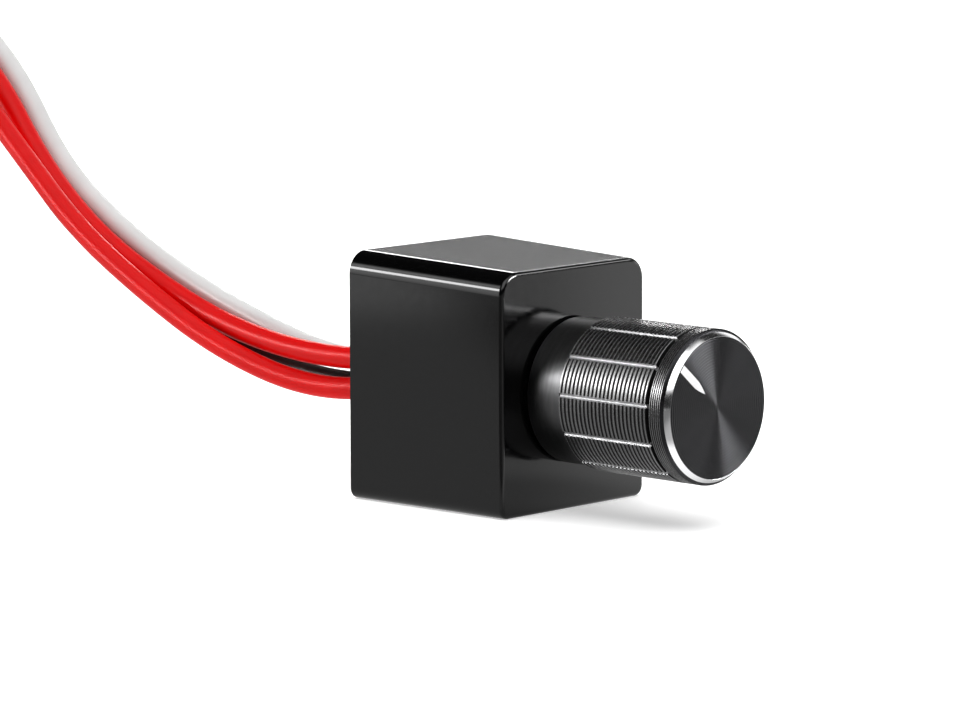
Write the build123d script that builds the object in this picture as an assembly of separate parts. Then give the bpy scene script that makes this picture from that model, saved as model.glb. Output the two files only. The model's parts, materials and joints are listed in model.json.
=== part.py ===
from build123d import *
import os
from math import cos, pi, radians, sin, tan

# A small moulded control box with one rotary knob on its front and four flying leads at its back.
# Millimetres. +Z is up, +X is to the right of a person who faces the knob, and -Y is the front.
# The origin is the centre of the flat base, on the surface that the box stands on.

# ---------------------------------------------------------------- driving dimensions
# Moulded box. It grows a little towards its open back, so that it leaves the mould.
front_width = 20.6
rear_width = 21.9
front_height = 24.0
rear_height = 24.7
box_depth = 20.0
corner_radius = 2.2
foot_radius = 1.1
inner_radius = 0.6
front_edge_radius = 0.4
wall = 1.6
cover_rim = 0.8
cover_thickness = 2.0
cover_play = 0.08
boss_radius = 2.0
boss_x = 8.0
boss_low_z = 3.0
boss_high_z = 21.7
screw_radius = 0.9
screw_head_radius = 1.7
screw_head_depth = 1.2
screw_length = 6.0
screw_point = 0.6

# Knob, measured forwards from the front of the box.
axis_height = 11.8
knob_start = 0.35
neck_end = 4.65
grip_start = 4.9
grip_end = 15.95
head_start = 16.45
chamfer_start = 17.8
bevel_start = 18.08
knob_end = 18.58
neck_radius = 7.2
knob_radius = 7.55
groove_radius = 7.05
bevel_radius = 7.25
face_radius = 6.87
face_thickness = 1.5
insert_radius = 6.3
insert_start = 5.8
slot_count = 12
slot_depth = 0.25
slot_phase = 174.5
pointer_angle = 140.0
pointer_inner = 2.4
pointer_outer = 6.6
pointer_width = 0.8
pointer_depth = 0.2

# Potentiometer: M7 bushing, 6 mm shaft, 16 mm can, 300 degrees of travel.
shaft_radius = 3.0
shaft_end = 14.0
shaft_flat = 1.5
flat_start = 6.0
shaft_play = 0.03
shaft_core = 2.0
shaft_flange = 4.2
clip_start = 5.05
clip_end = 5.5
clip_inner = 2.5
clip_outer = 4.0
clip_half_angle = 145.0
bushing_radius = 3.5
bushing_end = 4.9
plate_thickness = 1.2
can_radius = 8.0
can_wall = 0.4
can_length = 6.6
key_distance = 6.3
key_length = 1.0
key_width = 2.0
key_height = 0.9
play = 0.1
carrier_radius = 6.3
carrier_thickness = 1.5
wafer_thickness = 1.0
stop_half_angle = 19.0
lug_half_angle = 10.0
washer_radius = 5.6
washer_thickness = 0.5
nut_across_flats = 10.0
nut_thickness = 2.0

# Circuit board and the parts that are soldered to it.
board_front = 1.6
board_thickness = 1.0
board_half_width = 8.9
board_low_z = 1.9
board_high_z = 22.5
terminal_x = (-4.0, 0.0, 4.0)
terminal_low_z = 2.4
terminal_thickness = 0.4

# Leads. The four of them leave the back through one rubber grommet, two by two.
lead_diameter = 2.3
lead_pitch = 2.9
grommet_z = 11.0
grommet_neck = 3.7
grommet_flange = 4.6
grommet_lip = 1.0
conductor_radius = 0.6
stripped_length = 6.0
tie_width = 2.2
tie_thickness = 0.9

# ---------------------------------------------------------------- worked-out places
front = -box_depth / 2
back = box_depth / 2
inside_front = front + wall
inside_back = back - cover_thickness
lead_radius = lead_diameter / 2
screw_seat = back - screw_head_depth
screw_tip = screw_seat - screw_length
plate_radius = can_radius - can_wall
plate_back = inside_front + plate_thickness
can_low_z = axis_height - can_radius
can_front = inside_front + play
can_back = can_front + can_length
wafer_back = can_back - can_wall
wafer_front = wafer_back - wafer_thickness
flange_front = plate_back + play
flange_back = flange_front + 0.6
carrier_back = flange_back + carrier_thickness
track_thickness = 0.1
track_front = wafer_front - track_thickness
board_back = board_front + board_thickness
boss_places = [(x, z) for x in (-boss_x, boss_x) for z in (boss_low_z, boss_high_z)]
offset = lead_pitch / 2

# Routes of the leads. Each starts at its solder joint on the board. The distances in the middle
# column are from the back of the box. The leads keep the curve that the reel gave them: they rise
# behind the box, arch over, come down again and lie on the surface at their ends.
board_to_back = back - board_back
lead_routes = {
    "red_lead_upper": [
        (-offset, -board_to_back, grommet_z + offset),
        (-offset, 4.0, grommet_z + offset),
        (-1.1, 15.6, 12.3),
        (0.1, 28.5, 13.7),
        (1.8, 41.0, 17.0),
        (3.5, 53.0, 21.4),
        (5.1, 63.5, 28.2),
        (6.6, 72.5, 37.4),
        (8.0, 82.5, 42.6),
        (9.2, 93.5, 40.6),
        (9.9, 101.5, 31.0),
        (10.2, 107.0, 19.6),
        (10.3, 111.6, 9.6),
        (10.3, 118.5, 3.1),
        (10.4, 127.0, 1.7),
    ],
    "red_lead_lower": [
        (-offset, -board_to_back, grommet_z - offset),
        (-offset, 4.0, grommet_z - offset),
        (-1.9, 15.6, 9.0),
        (-1.8, 28.5, 11.9),
        (-1.0, 41.0, 17.0),
        (0.5, 53.0, 22.5),
        (2.0, 63.5, 29.9),
        (3.0, 71.5, 35.6),
        (3.2, 80.8, 40.6),
        (2.4, 91.5, 38.8),
        (0.7, 99.2, 29.6),
        (-1.2, 104.0, 18.8),
        (-2.8, 107.9, 9.2),
        (-4.8, 114.2, 3.0),
        (-7.2, 122.2, 1.6),
    ],
    "white_lead": [
        (offset, -board_to_back, grommet_z + offset),
        (offset, 4.0, grommet_z + offset),
        (2.4, 15.6, 11.5),
        (3.1, 28.5, 14.4),
        (4.6, 41.0, 17.8),
        (6.2, 53.0, 22.3),
        (7.8, 63.5, 28.1),
        (9.4, 72.3, 37.6),
        (11.0, 82.6, 43.8),
        (12.6, 94.2, 42.2),
        (13.8, 103.0, 32.6),
        (14.2, 108.4, 20.6),
        (14.3, 112.8, 10.2),
        (14.2, 119.4, 3.4),
        (13.6, 128.0, 1.8),
    ],
    "black_lead": [
        (offset, -board_to_back, grommet_z - offset),
        (offset, 4.0, grommet_z - offset),
        (1.1, 15.6, 9.3),
        (1.7, 28.5, 11.1),
        (2.9, 41.0, 14.3),
        (4.6, 53.0, 19.1),
        (6.2, 63.5, 24.6),
        (7.0, 71.2, 32.6),
        (7.2, 80.4, 37.0),
        (6.4, 91.4, 35.6),
        (5.2, 99.4, 27.2),
        (4.2, 104.6, 16.8),
        (3.5, 108.8, 8.2),
        (3.1, 115.2, 2.9),
        (3.4, 123.6, 1.6),
    ],
}


# ---------------------------------------------------------------- helpers
def disc(radius, y_start, y_end, x=0.0, z=axis_height):
    """A round solid along Y between two distances."""
    middle = (y_start + y_end) / 2
    return Pos(x, middle, z) * Rot(90, 0, 0) * Cylinder(radius, abs(y_end - y_start))


def block(x_range, y_range, z_range):
    """A box between two corners."""
    size = [high - low for low, high in (x_range, y_range, z_range)]
    middle = [(high + low) / 2 for low, high in (x_range, y_range, z_range)]
    return Pos(*middle) * Box(*size)


def section(y, width, height, radius, low_z=0.0):
    """A rounded rectangle across the Y axis, standing on low_z."""
    plane = Plane(origin=(0, y, low_z + height / 2), x_dir=(1, 0, 0), z_dir=(0, -1, 0))
    return plane * RectangleRounded(width, height, radius)


def around_axis(angle, radius):
    """The x and z of a point beside the knob's axis, anticlockwise from +X as seen from the front."""
    return radius * cos(radians(angle)), axis_height + radius * sin(radians(angle))


def ring_sector(inner, outer, start_angle, end_angle, y_start, y_end):
    """Part of a flat ring about the knob's axis."""
    angles = (start_angle, (start_angle + end_angle) / 2, end_angle)
    inner_points = [point_on_ring(angle, inner, y_start) for angle in angles]
    outer_points = [point_on_ring(angle, outer, y_start) for angle in angles]
    outline = ThreePointArc(*inner_points) + ThreePointArc(*outer_points)
    outline += Line(inner_points[0], outer_points[0])
    outline += Line(inner_points[-1], outer_points[-1])
    return extrude(make_face(outline), amount=y_end - y_start, dir=(0, 1, 0))


def point_on_ring(angle, radius, y):
    x, z = around_axis(angle, radius)
    return (x, y, z)


# ---------------------------------------------------------------- box
def tapered_box(depths, widths, heights, low_z, low_radius, high_radius):
    """A flat-bottomed box that grows evenly towards its back, with its four long edges rounded."""
    (start, end), (start_width, end_width), (start_height, end_height) = depths, widths, heights
    plan = [(-start_width / 2, start), (start_width / 2, start), (end_width / 2, end), (-end_width / 2, end)]
    side = [(start, low_z), (end, low_z), (end, low_z + end_height), (start, low_z + start_height)]
    plan_face = make_face(Polyline([(x, y, low_z) for x, y in plan], close=True))
    side_face = make_face(Polyline([(0, y, z) for y, z in side], close=True))
    upright = extrude(plan_face, amount=end_height, dir=(0, 0, 1))
    across = extrude(side_face, amount=end_width / 2, dir=(1, 0, 0), both=True)
    box = upright & across
    long_edges = box.edges().filter_by(lambda edge: abs(edge.tangent_at(0).Y) > 0.9).sort_by(Axis.Z)
    box = fillet(long_edges[2:], high_radius)
    low_edges = box.edges().filter_by(lambda edge: abs(edge.tangent_at(0).Y) > 0.9).sort_by(Axis.Z)
    return fillet(low_edges[:2], low_radius)


def make_housing():
    outside = tapered_box((front, back), (front_width, rear_width), (front_height, rear_height),
                          0.0, foot_radius, corner_radius)
    front_edges = outside.faces().sort_by(Axis.Y)[0].edges()
    outside = fillet(front_edges, front_edge_radius)
    growth = (rear_width - front_width) * wall / box_depth
    hollow = tapered_box((inside_front, back), (front_width + growth - 2 * wall, rear_width - 2 * wall),
                         (front_height - 2 * wall, rear_height - 2 * wall), wall, inner_radius,
                         inner_radius)
    rebate = extrude(
        section(back, rear_width - 2 * cover_rim, rear_height - 2 * cover_rim, corner_radius - cover_rim,
                cover_rim),
        amount=cover_thickness,
    )
    shell = outside - hollow
    for x, z in boss_places:
        shell += disc(boss_radius, inside_front - 0.2, inside_back, x, z)
    shell -= rebate
    for x, z in boss_places:
        shell -= disc(screw_radius, screw_tip - screw_point, inside_back, x, z)
    shell -= disc(bushing_radius + play, front, inside_front)
    return shell - locating_key(play)


def locating_key(grow):
    """The lug on the bushing plate that stops the potentiometer turning; its pocket is larger all round."""
    half_length = key_length / 2 + grow
    half_width = key_width / 2 + grow
    return block((-key_distance - half_length, -key_distance + half_length),
                 (inside_front - key_height - grow, inside_front),
                 (axis_height - half_width, axis_height + half_width))


def make_cover():
    height = rear_height - 2 * (cover_rim + cover_play)
    width = rear_width - 2 * (cover_rim + cover_play)
    cover = extrude(
        section(back, width, height, corner_radius - cover_rim - cover_play, cover_rim + cover_play),
        amount=cover_thickness,
    )
    outer_edges = cover.faces().sort_by(Axis.Y)[-1].edges()
    cover = chamfer(outer_edges, 0.25)
    cover -= disc(grommet_neck, inside_back, back, z=grommet_z)
    for x, z in boss_places:
        cover -= disc(screw_radius + play, inside_back, back, x, z)
        cover -= disc(screw_head_radius + play, screw_seat, back, x, z)
    return cover


def make_screws():
    screws = []
    for x, z in boss_places:
        head = disc(screw_head_radius, screw_seat, back - play, x, z)
        head = fillet(head.edges().sort_by(Axis.Y)[-1:], 0.35)
        for half_x, half_z in ((1.0, 0.18), (0.18, 1.0)):
            head -= block((x - half_x, x + half_x), (back - 0.7, back), (z - half_z, z + half_z))
        shank = disc(screw_radius, screw_tip + screw_point, screw_seat, x, z)
        tip = Cone(screw_radius, 0.4, screw_point)
        tip = Pos(x, screw_tip + screw_point / 2, z) * Rot(90, 0, 0) * tip
        screws.append(head + shank + tip)
    return screws


# ---------------------------------------------------------------- potentiometer
def make_bushing():
    """The zinc mounting plate with its threaded bushing, its locating key and its travel stop."""
    part = disc(plate_radius, inside_front, plate_back)
    part += disc(bushing_radius, front - bushing_end, inside_front)
    part = chamfer(part.edges().sort_by(Axis.Y)[0:1], 0.3)
    part += locating_key(0)
    part += ring_sector(carrier_radius + 0.4, plate_radius, 270 - stop_half_angle,
                        270 + stop_half_angle, plate_back, carrier_back)
    return part - disc(shaft_radius + shaft_play, front - bushing_end, plate_back)


def make_can():
    can = disc(can_radius, can_front, can_back)
    can -= disc(plate_radius, can_front, wafer_back)
    return can - block((-6.1, 6.1), (wafer_front - play, wafer_back), (0, axis_height - 4))


def make_wafer():
    wafer = disc(plate_radius - play, wafer_front, wafer_back)
    tongue = block((-5.9, 5.9), (wafer_front, wafer_back), (terminal_low_z, axis_height - 3))
    return wafer + tongue


def make_track():
    return ring_sector(4.4, 6.0, -60, 240, track_front, wafer_front)


def make_collector():
    return disc(3.2, track_front, wafer_front) - disc(2.4, track_front, wafer_front)


def make_terminals():
    lugs = []
    for x in terminal_x:
        lug = block((x - 0.9, x + 0.9), (wafer_back, wafer_back + terminal_thickness),
                    (terminal_low_z, can_low_z - play))
        leg = block((x - 0.6, x + 0.6), (wafer_back, board_back + 0.5),
                    (terminal_low_z, terminal_low_z + terminal_thickness))
        lugs.append(lug + leg)
    return lugs


def make_shaft():
    shaft = disc(shaft_radius, front - shaft_end, flange_front)
    shaft = chamfer(shaft.edges().sort_by(Axis.Y)[0:1], 0.5)
    shaft += disc(shaft_flange, flange_front, flange_back)
    shaft += disc(shaft_core, flange_back, carrier_back + 0.2)
    clip_groove = disc(shaft_radius, front - clip_end, front - clip_start)
    clip_groove -= disc(clip_inner, front - clip_end, front - clip_start)
    return shaft - clip_groove - shaft_flat_cut()


def shaft_flat_cut():
    """The space beside the flat of the D-shaped shaft end, turned with the pointer."""
    cut = block((-4, 4), (front - shaft_end, front - flat_start), (shaft_flat, shaft_flat + 4))
    return Pos(0, 0, axis_height) * Rot(0, -pointer_angle, 0) * cut


def make_clip():
    return ring_sector(clip_inner, clip_outer, pointer_angle - clip_half_angle,
                       pointer_angle + clip_half_angle, front - clip_end, front - clip_start)


def make_carrier():
    carrier = disc(carrier_radius, flange_back, carrier_back)
    carrier += ring_sector(carrier_radius - 0.3, carrier_radius + 0.9, pointer_angle - lug_half_angle,
                           pointer_angle + lug_half_angle, flange_back, carrier_back)
    return carrier - disc(shaft_core, flange_back, carrier_back)


def make_wiper():
    """A sprung bronze strip with one finger on the carbon track and one on the collector ring."""
    low = carrier_back
    strip = block((2.5, 5.9), (low, low + 0.2), (-1.1, 1.1))
    outer_finger = block((4.9, 5.5), (low, track_front - play), (0.3, 1.0))
    inner_finger = block((2.5, 3.1), (low, track_front - play), (-1.0, -0.3))
    wiper = strip + outer_finger + inner_finger
    return Pos(0, 0, axis_height) * Rot(0, -pointer_angle, 0) * wiper


def make_washer():
    return disc(washer_radius, front - washer_thickness, front) - disc(bushing_radius, front - 1, front)


def make_nut():
    nut_start = front - washer_thickness
    plane = Plane(origin=(0, nut_start, axis_height), x_dir=(1, 0, 0), z_dir=(0, -1, 0))
    hexagon = plane * RegularPolygon(nut_across_flats / 2, 6, major_radius=False)
    nut = extrude(hexagon, amount=nut_thickness)
    return nut - disc(bushing_radius, nut_start - nut_thickness, nut_start)


# ---------------------------------------------------------------- knob
def make_knob():
    """A turned aluminium cap: neck, slotted grip, dark groove, head band, chamfer, bevel and flat face."""
    outline = [
        (insert_radius, knob_start),
        (neck_radius, knob_start),
        (neck_radius, neck_end),
        (knob_radius, grip_start),
        (knob_radius, grip_end),
        (groove_radius, grip_end),
        (groove_radius, head_start),
        (knob_radius, head_start),
        (knob_radius, chamfer_start),
        (bevel_radius, bevel_start),
        (face_radius, knob_end),
        (0, knob_end),
        (0, knob_end - face_thickness),
        (insert_radius, knob_end - face_thickness),
    ]
    profile = make_face(Polyline([(r, front - s, axis_height) for r, s in outline], close=True))
    knob = revolve(profile, Axis((0, 0, axis_height), (0, 1, 0)))
    slot_side = slot_depth * 2 ** 0.5
    for i in range(slot_count):
        angle = slot_phase + i * 360 / slot_count
        x, z = around_axis(angle, knob_radius)
        length = head_start - neck_end
        middle = front - (head_start + neck_end) / 2 + 0.1
        knob -= Pos(x, middle, z) * Rot(0, 45 - angle, 0) * Box(slot_side, length, slot_side)
    return knob - make_pointer()


def make_pointer():
    """The paint-filled line on the face, pointed at its inner end."""
    half = pointer_width / 2
    face_y = front - knob_end
    corners = [(pointer_inner, 0), (pointer_inner + 1.6, half), (pointer_outer, half),
               (pointer_outer, -half), (pointer_inner + 1.6, -half)]
    outline = Polyline([(x, 0, z) for x, z in corners], close=True)
    inlay = extrude(make_face(outline), amount=pointer_depth, dir=(0, 1, 0))
    return Pos(0, face_y, axis_height) * Rot(0, -pointer_angle, 0) * inlay


def make_insert():
    insert = disc(insert_radius, front - (knob_end - face_thickness), front - insert_start)
    bore = disc(shaft_radius, front - shaft_end, front - insert_start)
    return insert - (bore - shaft_flat_cut())


# ---------------------------------------------------------------- circuit board
def make_board():
    board = block((-board_half_width, board_half_width), (board_front, board_back),
                  (board_low_z, board_high_z))
    for x, z in boss_places:
        board -= disc(boss_radius + 0.3, board_front, board_back, x, z)
    for x in terminal_x:
        board -= block((x - 0.6, x + 0.6), (board_front, board_back),
                       (terminal_low_z, terminal_low_z + terminal_thickness))
    for x, z in lead_places():
        board -= disc(conductor_radius, board_front, board_back, x, z)
    return board


def lead_places():
    return [(route[0][0], route[0][2]) for route in lead_routes.values()]


def make_solder():
    """Solder at the four conductors, in front of the board, and at the three terminals behind it."""
    joints = []
    for x, z in lead_places():
        tip = disc(conductor_radius, board_front - 0.9, board_back, x, z)
        fillet_cone = Pos(x, board_front - 0.3, z) * Rot(90, 0, 0) * Cone(1.1, 0.6, 0.6)
        joints.append(tip + fillet_cone)
    for x in terminal_x:
        z = terminal_low_z + terminal_thickness / 2
        mound = Pos(x, board_back + 0.15, z) * Rot(-90, 0, 0) * Cone(0.95, 0.75, 0.3)
        mound -= block((x - 0.6, x + 0.6), (board_back, board_back + 1),
                       (terminal_low_z, terminal_low_z + terminal_thickness))
        mound -= block((x - 2, x + 2), (board_back, board_back + 1), (0, board_low_z))
        joints.append(mound)
    return joints


def make_transistor():
    """The power transistor, with its heat tab and three legs."""
    x, z = -3.2, 17.6
    body = block((x - 3.3, x + 3.3), (board_back, board_back + 2.3), (z - 2.6, z + 2.2))
    tab = block((x - 2.6, x + 2.6), (board_back, board_back + 0.5), (z + 2.2, z + 3.0))
    legs = [block((x + dx - 0.4, x + dx + 0.4), (board_back, board_back + 0.5), (z - 3.3, z - 2.6))
            for dx in (-2.3, 0, 2.3)]
    part = body + tab
    for leg in legs:
        part += leg
    return part


def make_chip():
    """The eight-legged control chip."""
    x, z = -6.0, 10.4
    part = block((x - 1.5, x + 1.5), (board_back, board_back + 1.5), (z - 2.4, z + 2.4))
    for side in (-1, 1):
        for row in range(4):
            leg_z = z - 1.905 + 1.27 * row
            part += block(sorted((x + side * 1.5, x + side * 2.3)), (board_back, board_back + 0.5),
                          (leg_z - 0.2, leg_z + 0.2))
    return part


def make_diode():
    x, z = 6.3, 10.8
    body = block((x - 1.3, x + 1.3), (board_back, board_back + 2.1), (z - 2.1, z + 2.1))
    ends = block((x - 0.75, x + 0.75), (board_back, board_back + 0.6), (z - 2.5, z + 2.5))
    return body + ends


def make_capacitor():
    x, z = 4.2, 17.9
    can = disc(2.5, board_back + 0.4, board_back + 5.1, x, z)
    can = fillet(can.edges().sort_by(Axis.Y)[-1:], 0.4)
    base = block((x - 2.6, x + 2.6), (board_back, board_back + 0.4), (z - 2.6, z + 2.6))
    return can + base


def make_resistors():
    return [block((x - 1.0, x + 1.0), (board_back, board_back + 0.5), (5.4, 6.65)) for x in (-4.6, -1.5, 1.6)]


# ---------------------------------------------------------------- grommet, tie and leads
def make_grommet():
    neck = disc(grommet_neck, inside_back, back, z=grommet_z)
    inner = disc(grommet_flange, inside_back - grommet_lip, inside_back, z=grommet_z)
    outer = disc(grommet_flange, back, back + grommet_lip, z=grommet_z)
    outer = fillet(outer.edges().sort_by(Axis.Y)[-1:], 0.6)
    grommet = neck + inner + outer
    for x, z in lead_places():
        grommet -= disc(lead_radius, inside_back - grommet_lip, back + grommet_lip, x, z)
    return grommet


def make_tie():
    """A small cable tie round the four leads, which stops them being pulled out."""
    tie_start = board_back + 1.2
    inner = lead_pitch + lead_diameter + play
    outer = inner + 2 * tie_thickness
    plane = Plane(origin=(0, tie_start, grommet_z), x_dir=(1, 0, 0), z_dir=(0, 1, 0))
    loop = plane * RectangleRounded(outer, outer, lead_radius + tie_thickness)
    loop -= plane * RectangleRounded(inner, inner, lead_radius)
    low = grommet_z - inner / 2
    head = block((-1.6, 1.6), (tie_start - 0.3, tie_start + tie_width + 0.3), (low - 2.4, low - 0.3))
    return extrude(loop, amount=tie_width) + head


def make_lead(name):
    """One insulated lead: straight runs joined by tangent arcs, each as large as its runs allow."""
    points = lead_points(name)
    radii = [corner_fillet(points[i - 1], points[i], points[i + 1]) for i in range(1, len(points) - 1)]
    path = FilletPolyline(*points, radius=radii)
    start = Plane(origin=points[0], z_dir=points[1] - points[0])
    lead = sweep(start * Circle(lead_radius), path=path)
    length = path.length
    error = lead.volume / (pi * lead_radius ** 2 * length) - 1
    print(f"{name}: length {length:.1f} mm, volume error {error:.4%}, radii", [round(r, 1) for r in radii])
    return lead


def lead_points(name):
    return [Vector(x, back + behind, z) for x, behind, z in lead_routes[name]]


def corner_fillet(before, corner, after):
    into = corner - before
    out = after - corner
    shorter = min(into.length, out.length)
    return 0.45 * shorter / tan(radians(into.get_angle(out) / 2))


def make_lead_end(name):
    """The stripped and tinned end of the lead's copper."""
    points = lead_points(name)
    direction = (points[-1] - points[-2]).normalized()
    middle = points[-1] + direction * (stripped_length / 2)
    return Plane(origin=middle, z_dir=direction) * Cylinder(conductor_radius, stripped_length)


# ---------------------------------------------------------------- files
def write(name, shape):
    solids = shape if isinstance(shape, list) else [shape]
    shape = Compound(children=[s for solid in solids for s in solid.solids()])
    shape.label = name
    export_step(shape, f"parts/{name}.step")


os.makedirs("parts", exist_ok=True)
write("housing_shell", make_housing())
write("rear_cover", make_cover())
write("cover_screws", make_screws())
write("bushing_plate", make_bushing())
write("pot_can", make_can())
write("pot_wafer", make_wafer())
write("carbon_track", make_track())
write("collector_ring", make_collector())
write("pot_terminals", make_terminals())
write("pot_shaft", make_shaft())
write("shaft_clip", make_clip())
write("wiper_carrier", make_carrier())
write("wiper_contact", make_wiper())
write("bushing_washer", make_washer())
write("bushing_nut", make_nut())
write("knob_shell", make_knob())
write("knob_insert", make_insert())
write("pointer_inlay", make_pointer())
write("circuit_board", make_board())
write("solder_joints", make_solder())
write("power_transistor", make_transistor())
write("control_chip", make_chip())
write("flyback_diode", make_diode())
write("storage_capacitor", make_capacitor())
write("chip_resistors", make_resistors())
write("wire_grommet", make_grommet())
write("cable_tie", make_tie())
for lead_name in lead_routes:
    write(lead_name, make_lead(lead_name))
    write(f"{lead_name}_end", make_lead_end(lead_name))
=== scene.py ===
"""Looks for a small moulded control box with one turned knob in front and four leads at its back.

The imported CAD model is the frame. Metres, +Z up, and the knob points along -Y.
"""
import json
from math import cos, pi, radians, sin, sqrt

import bpy
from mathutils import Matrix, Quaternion, Vector


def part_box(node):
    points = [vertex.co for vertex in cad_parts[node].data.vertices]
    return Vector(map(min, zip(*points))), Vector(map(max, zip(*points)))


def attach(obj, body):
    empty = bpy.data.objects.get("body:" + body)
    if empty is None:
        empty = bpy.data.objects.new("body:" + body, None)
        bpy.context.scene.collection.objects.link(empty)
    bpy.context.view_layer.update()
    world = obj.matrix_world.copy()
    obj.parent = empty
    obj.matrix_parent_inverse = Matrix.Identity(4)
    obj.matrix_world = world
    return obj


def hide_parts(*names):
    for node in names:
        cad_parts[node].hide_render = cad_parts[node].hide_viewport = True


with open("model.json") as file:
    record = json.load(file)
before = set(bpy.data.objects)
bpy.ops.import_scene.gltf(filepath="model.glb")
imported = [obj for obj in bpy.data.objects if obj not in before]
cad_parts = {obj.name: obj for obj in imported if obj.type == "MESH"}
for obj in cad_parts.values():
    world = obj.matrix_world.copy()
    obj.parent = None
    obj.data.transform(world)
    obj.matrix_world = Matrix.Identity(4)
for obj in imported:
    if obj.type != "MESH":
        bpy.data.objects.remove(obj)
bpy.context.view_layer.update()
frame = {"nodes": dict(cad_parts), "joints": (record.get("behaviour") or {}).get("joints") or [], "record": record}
nodes = frame["nodes"]

MM = 0.001
knob_axis = Vector(frame["joints"][0]["pos_m"])
housing_low, housing_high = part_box("housing_shell")
front_y = housing_low.y


# ---------------------------------------------------------------- camera
camera_azimuth = radians(-47.179)
camera_elevation = radians(8.293)
camera_roll = radians(-0.139)
camera_distance = 0.49804
camera_lens = 187.96
camera_aim_right = -0.00516
camera_aim_up = 0.001873
camera_target = Vector((0.0, front_y + 0.005, 0.012))


def make_camera():
    """A long lens that looks at the box from its front left, a little from above."""
    level = cos(camera_elevation)
    back = Vector((sin(camera_azimuth) * level, -cos(camera_azimuth) * level, sin(camera_elevation)))
    right = Vector((cos(camera_azimuth), sin(camera_azimuth), 0.0))
    aim = camera_target + right * camera_aim_right + back.cross(right) * camera_aim_up
    data = bpy.data.cameras.new("camera")
    data.lens = camera_lens
    data.sensor_width = 36.0
    data.clip_start = 0.01
    data.clip_end = 50.0
    camera = bpy.data.objects.new("camera", data)
    camera.location = camera_target + back * camera_distance
    turn = (aim - camera.location).to_track_quat("-Z", "Y")
    camera.rotation_mode = "QUATERNION"
    camera.rotation_quaternion = turn @ Quaternion((0.0, 0.0, 1.0), camera_roll)
    bpy.context.scene.collection.objects.link(camera)
    bpy.context.scene.camera = camera


# ---------------------------------------------------------------- leads
lead_diameter = 0.0023
stripped_length = 0.006
conductor_radius = 0.0006

# Control points of each lead, from its solder joint to the cut end of its insulation.
lead_routes = {
    "red_lead_upper": [
        (-0.00145, 0.0026, 0.01245),
        (-0.00145, 0.0140, 0.01245),
        (-0.00110, 0.0256, 0.01195),
        (0.00010, 0.0385, 0.01335),
        (0.00180, 0.0510, 0.01665),
        (0.00350, 0.0630, 0.02105),
        (0.00510, 0.0735, 0.02785),
        (0.00660, 0.0825, 0.03705),
        (0.00800, 0.0925, 0.04225),
        (0.00920, 0.1035, 0.04025),
        (0.00990, 0.1115, 0.03065),
        (0.01020, 0.1170, 0.01960),
        (0.01030, 0.1216, 0.00960),
        (0.01030, 0.1285, 0.00310),
        (0.01040, 0.1370, 0.00170),
    ],
    "red_lead_lower": [
        (-0.00145, 0.0026, 0.00955),
        (-0.00145, 0.0140, 0.00955),
        (-0.00190, 0.0256, 0.00865),
        (-0.00180, 0.0385, 0.01155),
        (-0.00100, 0.0510, 0.01665),
        (0.00050, 0.0630, 0.02215),
        (0.00200, 0.0735, 0.02955),
        (0.00300, 0.0815, 0.03525),
        (0.00320, 0.0908, 0.04025),
        (0.00240, 0.1015, 0.03845),
        (0.00070, 0.1092, 0.02925),
        (-0.00120, 0.1140, 0.01880),
        (-0.00280, 0.1179, 0.00920),
        (-0.00480, 0.1242, 0.00300),
        (-0.00720, 0.1322, 0.00160),
    ],
    "white_lead": [
        (0.00145, 0.0026, 0.01245),
        (0.00145, 0.0140, 0.01245),
        (0.00240, 0.0256, 0.01115),
        (0.00310, 0.0385, 0.01405),
        (0.00460, 0.0510, 0.01745),
        (0.00620, 0.0630, 0.02195),
        (0.00780, 0.0735, 0.02775),
        (0.00940, 0.0823, 0.03725),
        (0.01100, 0.0926, 0.04345),
        (0.01260, 0.1042, 0.04185),
        (0.01380, 0.1130, 0.03260),
        (0.01420, 0.1184, 0.02060),
        (0.01430, 0.1228, 0.01020),
        (0.01420, 0.1294, 0.00340),
        (0.01360, 0.1380, 0.00180),
    ],
    "black_lead": [
        (0.00145, 0.0026, 0.00955),
        (0.00145, 0.0140, 0.00955),
        (0.00110, 0.0256, 0.00895),
        (0.00170, 0.0385, 0.01075),
        (0.00290, 0.0510, 0.01395),
        (0.00460, 0.0630, 0.01875),
        (0.00620, 0.0735, 0.02425),
        (0.00700, 0.0812, 0.03225),
        (0.00720, 0.0904, 0.03665),
        (0.00640, 0.1014, 0.03525),
        (0.00520, 0.1094, 0.02685),
        (0.00420, 0.1146, 0.01680),
        (0.00350, 0.1188, 0.00820),
        (0.00310, 0.1252, 0.00290),
        (0.00340, 0.1336, 0.00160),
    ],
}


def link(name, data, body, replaced=()):
    """A new piece that rides on a body and stands for some CAD nodes."""
    piece = bpy.data.objects.new(name, data)
    bpy.context.scene.collection.objects.link(piece)
    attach(piece, body)
    if replaced:
        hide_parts(*replaced)
    return piece


def make_lead(name, slot):
    """One insulated lead as a smooth round cord."""
    points = lead_routes[name]
    curve = bpy.data.curves.new(name + "_cord", "CURVE")
    curve.dimensions = "3D"
    curve.bevel_depth = lead_diameter / 2
    curve.bevel_resolution = 8
    curve.resolution_u = 20
    curve.use_fill_caps = True
    spline = curve.splines.new("NURBS")
    spline.points.add(len(points) - 1)
    for control, place in zip(spline.points, points):
        control.co = (*place, 1.0)
    spline.order_u = 3
    spline.use_endpoint_u = True
    curve.materials.append(materials[slot])
    return link(name + "_cord", curve, "housing", [name])


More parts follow.
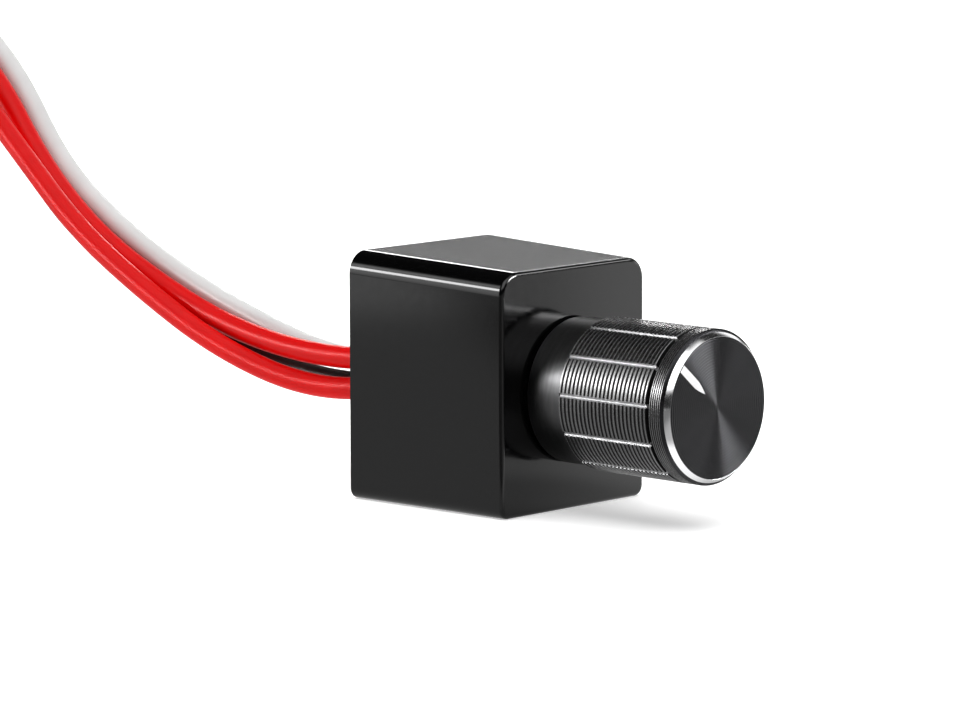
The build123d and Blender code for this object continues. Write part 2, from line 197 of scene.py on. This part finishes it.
def make_strands(name):
    """The tinned copper of a stripped end: six strands laid round a seventh."""
    tip = Vector(lead_routes[name][-1])
    along = (tip - Vector(lead_routes[name][-2])).normalized()
    side = along.cross(Vector((0.0, 0.0, 1.0))).normalized()
    over = side.cross(along)
    strand_radius = conductor_radius / 3
    steps, sides, twist = 24, 10, radians(300)
    verts, faces = [], []
    for strand in range(7):
        lay = 0.0 if strand == 6 else 2 * strand_radius
        base = len(verts)
        for i in range(steps + 1):
            turn = strand * pi / 3 + twist * i / steps
            middle = tip + along * (stripped_length * i / steps)
            middle = middle + (side * cos(turn) + over * sin(turn)) * lay
            for j in range(sides):
                angle = 2 * pi * j / sides
                verts.append(middle + (side * cos(angle) + over * sin(angle)) * strand_radius)
        for i in range(steps):
            for j in range(sides):
                a, b = base + i * sides + j, base + i * sides + (j + 1) % sides
                faces.append((a, b, b + sides, a + sides))
        faces.append([base + j for j in reversed(range(sides))])
        faces.append([base + steps * sides + j for j in range(sides)])
    mesh = bpy.data.meshes.new(name + "_strands")
    mesh.from_pydata(verts, [], faces)
    finish_mesh(mesh, materials["tinned_copper"])
    return link(name + "_strands", mesh, "housing", [name + "_end"])


def finish_mesh(mesh, material, sharp_angle=radians(38)):
    """Smooth shading with sharp edges kept, and one material."""
    mesh.validate()
    mesh.polygons.foreach_set("use_smooth", [True] * len(mesh.polygons))
    mesh.set_sharp_from_angle(angle=sharp_angle)
    mesh.materials.append(material)
    mesh.update()


def make_leads():
    """The four leads, each a cord with its bare end."""
    slots = {"red_lead_upper": "red_pvc", "red_lead_lower": "red_pvc",
             "white_lead": "white_pvc", "black_lead": "black_pvc"}
    for name, slot in slots.items():
        cord = make_lead(name, slot)
        strands = make_strands(name)


# ---------------------------------------------------------------- knob
# Millimetres here: radii from the knob's axis, distances forwards from the front of the box.
knob_low, knob_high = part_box("knob_shell")
knob_radius = (knob_high.x - knob_low.x) / 2 / MM
knob_start = (front_y - knob_high.y) / MM
knob_end = (front_y - knob_low.y) / MM
insert_radius = (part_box("knob_insert")[1].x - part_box("knob_insert")[0].x) / 2 / MM
neck_radius = knob_radius - 0.35
neck_end = 4.65
grip_start = 4.9
grip_end = 15.95
head_start = 16.45
chamfer_start = 17.8
bevel_start = 18.08
groove_radius = 7.05
bevel_radius = 7.25
face_radius = 6.87
face_thickness = 1.5
bevel_skin = 0.06
ridge_count = 22
ridge_gap = 0.25
ridge_depth = 0.10
head_ring_count = 5
head_ring_gap = 0.14
head_ring_depth = 0.07
face_ring_pitch = 0.27
face_ring_depth = 0.042
slot_count = 12
slot_phase = 174.5
slot_half_width = 0.22
slot_depth = 0.25
open_end_chamfer = 0.15
step_lean = 0.03
corner_ease = 0.04
pointer_angle = 140.0
pointer_half_width = 0.4
pointer_inner = 2.4
pointer_shoulder = 4.0
pointer_outer = 6.72

# The materials of the knob's faces, in the order of its material slots. Some are copies of the black anodising
# with painted light: a painted highlight on the ridge crests and the neck, painted shade in the grooves and on the
# face.
knob_surfaces = ("black_anodised", "groove_shade", "milled_slot", "neck_satin_painted_highlight", "ridge_crest_painted_highlight", "turned_face_painted_shade")
# A face counts as slot or groove once it lies this far below the knob's radius; groove faces get the painted
# shade.
slot_finish_depth = 0.08
groove_shade_depth = 0.045


def grooved(start, end, count, gap, depth, radius):
    """Flat-topped ridges with steep-sided grooves between them, as points of radius and distance."""
    points = []
    pitch = (end - start) / count
    for i in range(count):
        middle = start + (i + 0.5) * pitch
        for step, share in ((-0.56, 0.0), (-0.5, 0.12), (-0.44, 0.9), (-0.3, 1.0),
                            (0.3, 1.0), (0.44, 0.9), (0.5, 0.12), (0.56, 0.0)):
            points.append((radius - share * depth, middle + step * gap))
    return points


def knob_body_outline():
    """The knob's section from the middle of its hollow, round its open end, up to the bevel."""
    outline = [
        (0.0, knob_end - face_thickness),
        (insert_radius, knob_end - face_thickness),
        (insert_radius, knob_start),
        (neck_radius - open_end_chamfer, knob_start),
        (neck_radius, knob_start + open_end_chamfer),
        (neck_radius, neck_end - step_lean),
        (neck_radius, neck_end),
        (knob_radius - 0.05, grip_start - step_lean),
        (knob_radius, grip_start),
    ]
    outline += grooved(grip_start + 0.05, grip_end - 0.05, ridge_count, ridge_gap, ridge_depth, knob_radius)
    outline += [
        (knob_radius, grip_end - corner_ease),
        (knob_radius - corner_ease, grip_end),
        (groove_radius, grip_end + step_lean),
        (groove_radius, head_start - step_lean),
        (knob_radius - corner_ease, head_start),
        (knob_radius, head_start + corner_ease),
    ]
    outline += grooved(head_start + 0.06, chamfer_start - 0.02, head_ring_count, head_ring_gap,
                       head_ring_depth, knob_radius)
    outline += [
        (knob_radius, chamfer_start),
        (bevel_radius - 0.01, bevel_start - 0.01),
        (bevel_radius - bevel_skin, bevel_start),
        (face_radius - 0.03, knob_end - bevel_skin),
    ]
    return outline


def face_outline():
    """Turned rings from the bevel's inner edge to the middle of the face, a little below the rim."""
    rings = int(face_radius / face_ring_pitch)
    outline = []
    for i in range(rings):
        radius = face_radius - i * face_ring_pitch
        for step, share in ((0.0, 0.0), (0.25, 0.5), (0.5, 1.0), (0.75, 0.5)):
            outline.append((radius - step * face_ring_pitch, knob_end - 0.004 - share * face_ring_depth))
    outline.append((0.0, knob_end - 0.004))
    return outline


def angle_stations():
    """Angles round the knob, close together across each slot and even between slots."""
    sector = 360.0 / slot_count
    half = slot_half_width / knob_radius * 180 / pi
    stations = []
    for i in range(slot_count):
        middle = slot_phase + i * sector
        stations += [middle + half * share for share in (-1.0, -0.8, -0.45, 0.0, 0.45, 0.8, 1.0)]
        pad = sector - 2 * half
        stations += [middle + half + pad * k / 14 for k in range(1, 14)]
    return stations


def slot_floor(angle):
    """How far from the axis metal is left at an angle: less within a slot."""
    sector = 360.0 / slot_count
    off = (angle - slot_phase + sector / 2) % sector - sector / 2
    across = abs(radians(off)) * knob_radius / slot_half_width
    if across >= 1.0:
        return knob_radius
    return knob_radius - slot_depth * sqrt(1.0 - across ** 2)


def knob_surface_of(ends, angle):
    """The material of the face between two outline points, at an angle round the knob: painted highlight on ridge
    crests and the neck, painted shade in grooves and on the face.
    """
    (low_radius, low), (high_radius, high) = ends
    nearest = min(low, high)
    farthest = max(low, high)
    if farthest <= neck_end:
        return "neck_satin_painted_highlight"
    if nearest > bevel_start:
        return "turned_face_painted_shade"
    if nearest < grip_start - 0.04 or farthest > chamfer_start:
        return "black_anodised"
    if farthest <= head_start - 0.02 and slot_floor(angle) < knob_radius - slot_finish_depth:
        return "milled_slot"
    if min(low_radius, high_radius) < knob_radius - groove_shade_depth:
        return "groove_shade"
    return "ridge_crest_painted_highlight"


def turned(name, outline, slotted=None, surface_of=None):
    """A mesh turned about the knob's axis. Points on the axis close it; slotted is a range of distance."""
    stations = angle_stations()
    count = len(stations)
    verts, faces, rows, surface_indices = [], [], [], []
    closed = outline[0] == outline[-1]
    for radius, distance in outline[:-1] if closed else outline:
        y = front_y - distance * MM
        if radius == 0.0:
            rows.append([len(verts)] * count)
            verts.append((knob_axis.x, y, knob_axis.z))
            continue
        rows.append(list(range(len(verts), len(verts) + count)))
        for angle in stations:
            r = radius
            if slotted and slotted[0] <= distance <= slotted[1]:
                r = min(radius, slot_floor(angle))
            verts.append((knob_axis.x + r * MM * cos(radians(angle)), y,
                          knob_axis.z + r * MM * sin(radians(angle))))
    if closed:
        rows.append(rows[0])
    for low, high, ends in zip(rows, rows[1:], zip(outline, outline[1:])):
        for k in range(count):
            n = (k + 1) % count
            corners = [low[k], low[n], high[n], high[k]]
            faces.append([v for i, v in enumerate(corners) if v != corners[i - 1]])
            middle = (stations[k] + stations[n] + (360.0 if n == 0 else 0.0)) / 2
            surface_indices.append(knob_surfaces.index(surface_of(ends, middle)) if surface_of else 0)
    mesh = bpy.data.meshes.new(name)
    mesh.from_pydata(verts, [], faces)
    mesh.polygons.foreach_set("material_index", surface_indices)
    return mesh


def bevel_outline():
    """The bright ring where the bevel was cut through the black: its surface and a thin back."""
    outer = (bevel_radius, bevel_start)
    inner = (face_radius, knob_end)
    crown = ((bevel_radius + face_radius) / 2 + 0.01, (bevel_start + knob_end) / 2 + 0.01)
    back = [(face_radius - 0.05, knob_end - 0.03), (bevel_radius - 0.09, bevel_start - 0.04)]
    return [back[1], outer, crown, inner, *back]


def make_knob():
    """The knob's body with a material on each face, some with painted highlight and painted shade, and the bright
    ring round its front.
    """
    body = turned("knob_body", knob_body_outline() + face_outline(),
                  (grip_start - step_lean, head_start - step_lean), knob_surface_of)
    finish_mesh(body, materials[knob_surfaces[0]])
    for surface_name in knob_surfaces[1:]:
        body.materials.append(materials[surface_name])
    link("knob_body", body, "knob_rotor", ["knob_shell"])
    bevel = turned("knob_bevel", bevel_outline())
    finish_mesh(bevel, materials["cut_aluminium"])
    link("knob_bevel", bevel, "knob_rotor")


def make_pointer():
    """The white line on the face: parallel sides, a long point inwards, and a slightly raised middle."""
    turn = radians(pointer_angle)
    out = Vector((cos(turn), 0.0, sin(turn)))
    side = Vector((-sin(turn), 0.0, cos(turn)))
    face = Vector((knob_axis.x, knob_low.y, knob_axis.z))
    edge = [(pointer_inner + 0.35, 0.12), (pointer_inner + 0.9, 0.28),
            (pointer_shoulder, pointer_half_width), (pointer_outer, pointer_half_width)]
    rim = [(pointer_inner, 0.0), *edge, *[(along, -across) for along, across in reversed(edge)]]
    verts = []
    for shrink, height in ((1.0, -0.15), (1.0, 0.0), (0.82, 0.012)):
        for along, across in rim:
            place = along if shrink == 1.0 else along + (0.12 if along < pointer_shoulder else -0.07)
            verts.append(face + (out * place + side * across * shrink) * MM - Vector((0, height * MM, 0)))
    n = len(rim)
    faces = [list(range(2 * n, 3 * n)), list(reversed(range(n)))]
    for level in (0, n):
        faces += [(level + k, level + (k + 1) % n, level + n + (k + 1) % n, level + n + k) for k in range(n)]
    mesh = bpy.data.meshes.new("pointer_line")
    mesh.from_pydata(verts, [], faces)
    finish_mesh(mesh, materials["white_paint"])
    link("pointer_line", mesh, "knob_rotor", ["pointer_inlay"])


# ---------------------------------------------------------------- materials
def new_material(name):
    """A material with its node tree and its surface shader."""
    material = bpy.data.materials.new(name)
    material.use_nodes = True
    tree = material.node_tree
    return material, tree, tree.nodes["Principled BSDF"]


def noise_of(tree, scale, detail=3.0, stretch=(1.0, 1.0, 1.0)):
    """Noise fixed to the object: features are about 1/scale metres across, longer where stretch is small."""
    coordinates = tree.nodes.new("ShaderNodeTexCoord")
    mapping = tree.nodes.new("ShaderNodeMapping")
    mapping.inputs["Scale"].default_value = stretch
    noise = tree.nodes.new("ShaderNodeTexNoise")
    noise.inputs["Scale"].default_value = scale
    noise.inputs["Detail"].default_value = detail
    tree.links.new(coordinates.outputs["Object"], mapping.inputs["Vector"])
    tree.links.new(mapping.outputs["Vector"], noise.inputs["Vector"])
    return noise.outputs["Fac"]


def vary(tree, factor, low, high, socket):
    """Drives a number socket between two values."""
    spread = tree.nodes.new("ShaderNodeMapRange")
    spread.inputs["From Min"].default_value = 0.3
    spread.inputs["From Max"].default_value = 0.7
    spread.inputs["To Min"].default_value = low
    spread.inputs["To Max"].default_value = high
    tree.links.new(factor, spread.inputs["Value"])
    tree.links.new(spread.outputs["Result"], socket)


def tint(tree, factor, first, second, socket):
    """Drives a colour socket between two colours."""
    ramp = tree.nodes.new("ShaderNodeValToRGB")
    ramp.color_ramp.elements[0].position = 0.3
    ramp.color_ramp.elements[1].position = 0.7
    ramp.color_ramp.elements[0].color = (*first, 1.0)
    ramp.color_ramp.elements[1].color = (*second, 1.0)
    tree.links.new(factor, ramp.inputs["Fac"])
    tree.links.new(ramp.outputs["Color"], socket)


def bump(tree, shader, heights):
    """Adds bumps one after another: each is (height, depth in metres)."""
    last = None
    for height, depth in heights:
        node = tree.nodes.new("ShaderNodeBump")
        node.inputs["Distance"].default_value = depth
        tree.links.new(height, node.inputs["Height"])
        if last:
            tree.links.new(last.outputs["Normal"], node.inputs["Normal"])
        last = node
    tree.links.new(last.outputs["Normal"], shader.inputs["Normal"])


def surface(name, dark, light, roughness, grain, depth, metallic=0.0, specular=0.5, stretch=(1, 1, 1)):
    """A plain-looking material with colour, roughness and height that vary at the grain's size in metres."""
    material, tree, shader = new_material(name)
    coarse = noise_of(tree, 0.15 / grain, 2.0, stretch)
    fine = noise_of(tree, 1.0 / grain, 3.0, stretch)
    tint(tree, coarse, dark, light, shader.inputs["Base Color"])
    vary(tree, fine, roughness[0], roughness[1], shader.inputs["Roughness"])
    bump(tree, shader, [(fine, depth)])
    shader.inputs["Metallic"].default_value = metallic
    shader.inputs["Specular IOR Level"].default_value = specular
    return material


def shades(base, spread=0.12):
    """A darker and a lighter colour about a base."""
    return [tuple(channel * (1 + sign * spread) for channel in base) for sign in (-1, 1)]


def make_materials():
    """Every material by name: colour, roughness range, grain in metres and bump depth in metres."""
    made = {}

    def add(slot, base, roughness, grain, depth, spread=0.12, **more):
        made[slot] = surface(slot, *shades(base, spread), roughness, grain, depth, **more)

    add("housing_plastic", (0.0009, 0.0009, 0.001), (0.09, 0.12), 0.0009, 8e-7, specular=0.4)
    add("cover_plastic", (0.012, 0.012, 0.013), (0.5, 0.62), 0.00016, 1.4e-5, specular=0.4)
    add("screw_steel", (0.42, 0.42, 0.43), (0.26, 0.4), 0.0003, 4e-6, metallic=1.0)
    add("zinc", (0.45, 0.45, 0.47), (0.4, 0.55), 0.0004, 1e-5, metallic=1.0)
    add("can_steel", (0.55, 0.55, 0.57), (0.22, 0.34), 0.0008, 4e-6, metallic=1.0)
    add("phenolic", (0.28, 0.13, 0.05), (0.45, 0.6), 0.0004, 8e-6, spread=0.3)
    add("carbon", (0.012, 0.012, 0.012), (0.6, 0.75), 0.0002, 4e-6)
    add("silver_ink", (0.65, 0.65, 0.62), (0.4, 0.55), 0.0002, 4e-6, metallic=0.8)
    add("tinned_brass", (0.66, 0.63, 0.55), (0.2, 0.35), 0.0004, 4e-6, metallic=1.0)
    add("shaft_metal", (0.6, 0.6, 0.61), (0.25, 0.38), 0.0002, 4e-6, metallic=1.0, stretch=(0.1, 1, 0.1))
    add("spring_steel", (0.36, 0.36, 0.38), (0.25, 0.4), 0.0004, 3e-6, metallic=1.0)
    add("carrier_plastic", (0.03, 0.03, 0.033), (0.4, 0.55), 0.0004, 6e-6)
    add("bronze", (0.62, 0.38, 0.18), (0.2, 0.32), 0.0003, 3e-6, metallic=1.0)
    add("nut_plating", (0.55, 0.54, 0.52), (0.2, 0.35), 0.0004, 5e-6, metallic=1.0)
    add("insert_plastic", (0.02, 0.02, 0.02), (0.4, 0.55), 0.0004, 6e-6)
    add("white_paint", (0.8, 0.8, 0.8), (0.35, 0.5), 0.0001, 3e-6, spread=0.02)
    add("board_laminate", (0.02, 0.12, 0.04), (0.3, 0.45), 0.0006, 6e-6, spread=0.25)
    add("solder", (0.6, 0.6, 0.62), (0.12, 0.3), 0.0004, 1e-5, metallic=1.0)
    add("epoxy", (0.018, 0.018, 0.019), (0.45, 0.6), 0.0001, 4e-6)
    add("capacitor_can", (0.62, 0.62, 0.64), (0.2, 0.35), 0.0003, 3e-6, metallic=1.0)
    add("resistor_ceramic", (0.03, 0.03, 0.03), (0.3, 0.45), 0.0002, 4e-6)
    add("grommet_rubber", (0.012, 0.012, 0.012), (0.6, 0.78), 0.00025, 1e-5, specular=0.35)
    add("nylon", (0.02, 0.02, 0.02), (0.4, 0.55), 0.0005, 6e-6)
    add("red_pvc", (0.62, 0.0, 0.0002), (0.28, 0.34), 0.0006, 1e-6, spread=0.05, specular=0.12)
    add("white_pvc", (0.62, 0.62, 0.615), (0.3, 0.38), 0.0006, 1.5e-6, spread=0.03, specular=0.25)
    add("black_pvc", (0.004, 0.004, 0.004), (0.3, 0.42), 0.0006, 2e-6)
    add("tinned_copper", (0.66, 0.62, 0.58), (0.2, 0.38), 0.0003, 5e-6, metallic=1.0)
    add("black_anodised", (0.03, 0.03, 0.032), (0.24, 0.32), 0.00006, 2e-6, metallic=1.0,
        stretch=(0.15, 1, 0.15))
    # Darker copy of the black anodising in the grooves: painted shade.
    add("groove_shade", (0.008, 0.008, 0.008), (0.5, 0.62), 0.00006, 2e-6, metallic=0.5)
    add("milled_slot", (0.42, 0.42, 0.425), (0.45, 0.55), 0.00008, 1.5e-6, metallic=1.0)
    # Lighter copy of the black anodising on the neck: painted highlight, with a satin roughness of its own.
    add("neck_satin_painted_highlight", (0.1, 0.1, 0.102), (0.3, 0.36), 0.00006, 2e-6, metallic=1.0,
        stretch=(0.15, 1, 0.15))
    # Much lighter copy of the black anodising on the ridge crests: painted highlight.
    add("ridge_crest_painted_highlight", (0.17, 0.17, 0.172), (0.24, 0.3), 0.00006, 5e-7, metallic=1.0,
        stretch=(0.15, 1, 0.15))
    # Darker copy of the black anodising on the face: painted shade, with a smoother turned roughness of its own.
    add("turned_face_painted_shade", (0.017, 0.017, 0.018), (0.15, 0.19), 0.00006, 3e-7, metallic=1.0)
    add("cut_aluminium", (0.86, 0.86, 0.87), (0.12, 0.2), 0.00008, 3e-7, spread=0.03, metallic=1.0,
        stretch=(0.15, 1, 0.15))
    return made


def dress_cad_nodes():
    """Gives every CAD node its slot's material."""
    slots = {part["node"]: part["material_slot"] for part in frame["record"]["subparts"]}
    for name, node in nodes.items():
        node.data.materials.clear()
        node.data.materials.append(materials[slots[name]])


# ---------------------------------------------------------------- studio
stage_half = 6.0
floor_greys = ((0.93, 0.93, 0.93), (0.95, 0.95, 0.95))
floor_glow = 0.46
world_dimness = 0.015

# The reflector's brightness: at left, far left and right, and shares of it elsewhere.
reflector_drop = 0.0002
reflector_left = 0.65
reflector_far_left = 0.9
reflector_right = 1.5
reflector_near_front = 0.8
reflector_middle_share = 1.35
reflector_dark = 0.3
reflector_under_knob = 0.65
# Where each change starts and ends, in metres along the floor.
middle_rise = (0.0, 0.012)
front_rise = (-0.011, 0.012)
near_front_fall = (-0.024, -0.013)
far_left_rise = (0.147, 0.172)
camera_side_fall = (0.027, 0.036)
under_knob_rise = (0.009, 0.02)
# Directions along the floor, and how steeply the grading at the front runs.
rightwards = (0.729, -0.67)
leftwards = (-0.733, 0.68)
to_the_camera = (-0.729, -0.67)
front_slope = 1.088


def flat_sheet(name, height):
    """A wide level square for the stage."""
    mesh = bpy.data.meshes.new(name)
    sides = ((-1, -1), (1, -1), (1, 1), (-1, 1))
    mesh.from_pydata([(x * stage_half, y * stage_half, height) for x, y in sides], [], [(0, 1, 2, 3)])
    return mesh


def glow_material(name):
    """A material that only gives off light, with its node tree and its emission node."""
    material = bpy.data.materials.new(name)
    material.use_nodes = True
    tree = material.node_tree
    tree.nodes.clear()
    emission = tree.nodes.new("ShaderNodeEmission")
    output = tree.nodes.new("ShaderNodeOutputMaterial")
    tree.links.new(emission.outputs["Emission"], output.inputs["Surface"])
    return material, tree, emission


def add_to_stage(name, mesh, camera=True, diffuse=True, glossy=True, shadow=True):
    """Puts a piece of the studio in the scene and says which kinds of ray meet it."""
    piece = bpy.data.objects.new(name, mesh)
    piece.visible_camera = camera
    piece.visible_diffuse = diffuse
    piece.visible_glossy = glossy
    piece.visible_shadow = shadow
    bpy.context.scene.collection.objects.link(piece)


def make_floor():
    """A plain pale floor that reflections don't see: the reflector stands in for it there."""
    mesh = flat_sheet("floor", 0.0)
    material, tree, shader = new_material("floor_paper")
    tint(tree, noise_of(tree, 6.0), *floor_greys, shader.inputs["Base Color"])
    shader.inputs["Roughness"].default_value = 0.9
    shader.inputs["Specular IOR Level"].default_value = 0.0
    shader.inputs["Emission Color"].default_value = (1.0, 1.0, 1.0, 1.0)
    shader.inputs["Emission Strength"].default_value = floor_glow
    mesh.materials.append(material)
    add_to_stage("floor", mesh, glossy=False)


def along_floor(tree, direction):
    """A distance along the floor: a share of x plus a share of y."""
    coordinates = tree.nodes.new("ShaderNodeTexCoord")
    dot = tree.nodes.new("ShaderNodeVectorMath")
    dot.operation = "DOT_PRODUCT"
    dot.inputs[1].default_value = (*direction, 0.0)
    tree.links.new(coordinates.outputs["Object"], dot.inputs[0])
    return dot.outputs["Value"]


def from_knob(tree):
    """The distance along the floor from the point below the knob's middle."""
    coordinates = tree.nodes.new("ShaderNodeTexCoord")
    distance = tree.nodes.new("ShaderNodeVectorMath")
    distance.operation = "DISTANCE"
    distance.inputs[1].default_value = (0.0, front_y - 0.5 * knob_end * MM, 0.0)
    tree.links.new(coordinates.outputs["Object"], distance.inputs[0])
    return distance.outputs["Value"]


def smooth_step(tree, value, start, end, low, high):
    """Goes smoothly from low to high as a value goes from start to end."""
    step = tree.nodes.new("ShaderNodeMapRange")
    step.interpolation_type = "SMOOTHSTEP"
    step.inputs["From Min"].default_value = start
    step.inputs["From Max"].default_value = end
    step.inputs["To Min"].default_value = low
    step.inputs["To Max"].default_value = high
    tree.links.new(value, step.inputs["Value"])
    return step.outputs["Result"]


def maths(tree, operation, first, second):
    """Adds or multiplies two values."""
    node = tree.nodes.new("ShaderNodeMath")
    node.operation = operation
    tree.links.new(first, node.inputs[0])
    tree.links.new(second, node.inputs[1])
    return node.outputs[0]


def make_reflector():
    """A graded sheet under the floor that only reflections see.

    It is brighter at right and far left, and darker on the camera's side and under the knob.
    """
    mesh = flat_sheet("reflector", -reflector_drop)
    material, tree, emission = glow_material("reflector_sheet")
    to_right = along_floor(tree, rightwards)
    to_left = along_floor(tree, leftwards)
    to_camera = along_floor(tree, to_the_camera)
    across_front = along_floor(tree, (1.0, front_slope))
    front = front_slope * front_y
    graded = smooth_step(tree, across_front, front + front_rise[0], front + front_rise[1],
                         0.0, reflector_right - reflector_left)
    near_front = smooth_step(tree, across_front, front + near_front_fall[0], front + near_front_fall[1],
                             reflector_near_front, 0.0)
    only_right = smooth_step(tree, to_right, *middle_rise, 0.0, 1.0)
    added = maths(tree, "MULTIPLY", maths(tree, "ADD", graded, near_front), only_right)
    base = smooth_step(tree, to_right, *middle_rise, reflector_left, reflector_left * reflector_middle_share)
    far_left = smooth_step(tree, to_left, *far_left_rise, 0.0, reflector_far_left)
    sides = maths(tree, "ADD", maths(tree, "ADD", added, base), far_left)
    dark = smooth_step(tree, to_camera, *camera_side_fall, 1.0, reflector_dark)
    under_knob = smooth_step(tree, from_knob(tree), *under_knob_rise, reflector_under_knob, 1.0)
    total = maths(tree, "MULTIPLY", maths(tree, "MULTIPLY", sides, dark), under_knob)
    tree.links.new(total, emission.inputs["Strength"])
    mesh.materials.append(material)
    add_to_stage("reflector", mesh, camera=False, diffuse=False, shadow=False)


def make_card(name, direction, distance, width, height, radiance, edge=0.25, lights=True, shines=True):
    """A soft light card that faces the box, brightest in its middle; the camera doesn't see it."""
    toward = Vector(direction).normalized()
    across = toward.cross(Vector((0, 0, 1))).normalized() * (width / 2)
    upward = across.cross(toward).normalized() * (height / 2)
    middle = camera_target + toward * distance
    mesh = bpy.data.meshes.new(name)
    corners = [middle - across - upward, middle + across - upward,
               middle + across + upward, middle - across + upward]
    mesh.from_pydata(corners, [], [(0, 1, 2, 3)])
    layer = mesh.uv_layers.new(name="card")
    for loop, place in zip(layer.data, ((0, 0), (1, 0), (1, 1), (0, 1))):
        loop.uv = place
    material, tree, emission = glow_material(name)
    place = tree.nodes.new("ShaderNodeUVMap")
    place.uv_map = "card"
    split = tree.nodes.new("ShaderNodeSeparateXYZ")
    tree.links.new(place.outputs["UV"], split.inputs["Vector"])
    softened = []
    for axis, most in (("X", radiance), ("Y", 1.0)):
        from_edge = tree.nodes.new("ShaderNodeMath")
        from_edge.operation = "PINGPONG"
        from_edge.inputs[1].default_value = 0.5
        tree.links.new(split.outputs[axis], from_edge.inputs[0])
        softened.append(smooth_step(tree, from_edge.outputs[0], 0.0, edge, 0.0, most))
    tree.links.new(maths(tree, "MULTIPLY", *softened), emission.inputs["Strength"])
    mesh.materials.append(material)
    add_to_stage(name, mesh, camera=False, diffuse=lights, glossy=shines, shadow=False)


def make_lights():
    """Two cards light the box; the others are seen only in its reflections."""
    make_card("sky_card", (0.05, 0.0, 1.0), 1.6, 4.0, 4.0, 2.9, shines=False)
    make_card("key_card", (0.2, -0.6, 0.77), 1.4, 1.3, 1.3, 1.6)
    make_card("strip_card", (-0.608, 0.724, 0.326), 1.2, 1.4, 0.22, 21.0, lights=False)
    make_card("ramp_card", (-0.56, 0.666, 0.49), 1.2, 1.4, 0.36, 3.0, 0.5, lights=False)
    make_card("low_card", (-0.71, 0.69, 0.139), 1.3, 1.7, 0.95, 2.4, 0.5, lights=False)
    make_card("back_card", (0.72, 0.66, 0.13), 1.4, 1.2, 0.34, 0.36, 0.1, lights=False)
    make_card("edge_card", (0.70, 0.65, 0.30), 1.4, 1.2, 0.07, 20.0, lights=False)
    make_card("rim_card", (0.87, 0.3, 0.42), 1.3, 0.55, 1.05, 1.2, lights=False)
    make_card("front_card", (0.556, -0.785, 0.276), 1.3, 0.52, 0.4, 55.0, lights=False)
    make_card("bevel_card", (-0.42, -0.5, 0.76), 1.3, 1.9, 1.6, 2.4, lights=False)
    make_card("line_card", (0.73, -0.5, 0.46), 1.3, 0.5, 0.26, 9.0, lights=False)
    make_card("right_card", (0.9, -0.4, 0.12), 1.3, 0.6, 0.3, 3.0, lights=False)


def make_world():
    """Dim for lighting and reflections, and white behind everything."""
    world = bpy.data.worlds.new("world")
    world.use_nodes = True
    tree = world.node_tree
    dim = tree.nodes["Background"]
    dim.inputs["Color"].default_value = (1.0, 1.0, 1.0, 1.0)
    dim.inputs["Strength"].default_value = world_dimness
    white = tree.nodes.new("ShaderNodeBackground")
    white.inputs["Color"].default_value = (1.0, 1.0, 1.0, 1.0)
    path = tree.nodes.new("ShaderNodeLightPath")
    mix = tree.nodes.new("ShaderNodeMixShader")
    tree.links.new(path.outputs["Is Camera Ray"], mix.inputs["Fac"])
    tree.links.new(dim.outputs["Background"], mix.inputs[1])
    tree.links.new(white.outputs["Background"], mix.inputs[2])
    tree.links.new(mix.outputs["Shader"], tree.nodes["World Output"].inputs["Surface"])
    bpy.context.scene.world = world
    bpy.context.scene.view_settings.view_transform = "Standard"


make_camera()
materials = make_materials()
make_leads()
dress_cad_nodes()
make_knob()
make_pointer()
make_floor()
make_reflector()
make_lights()
make_world()
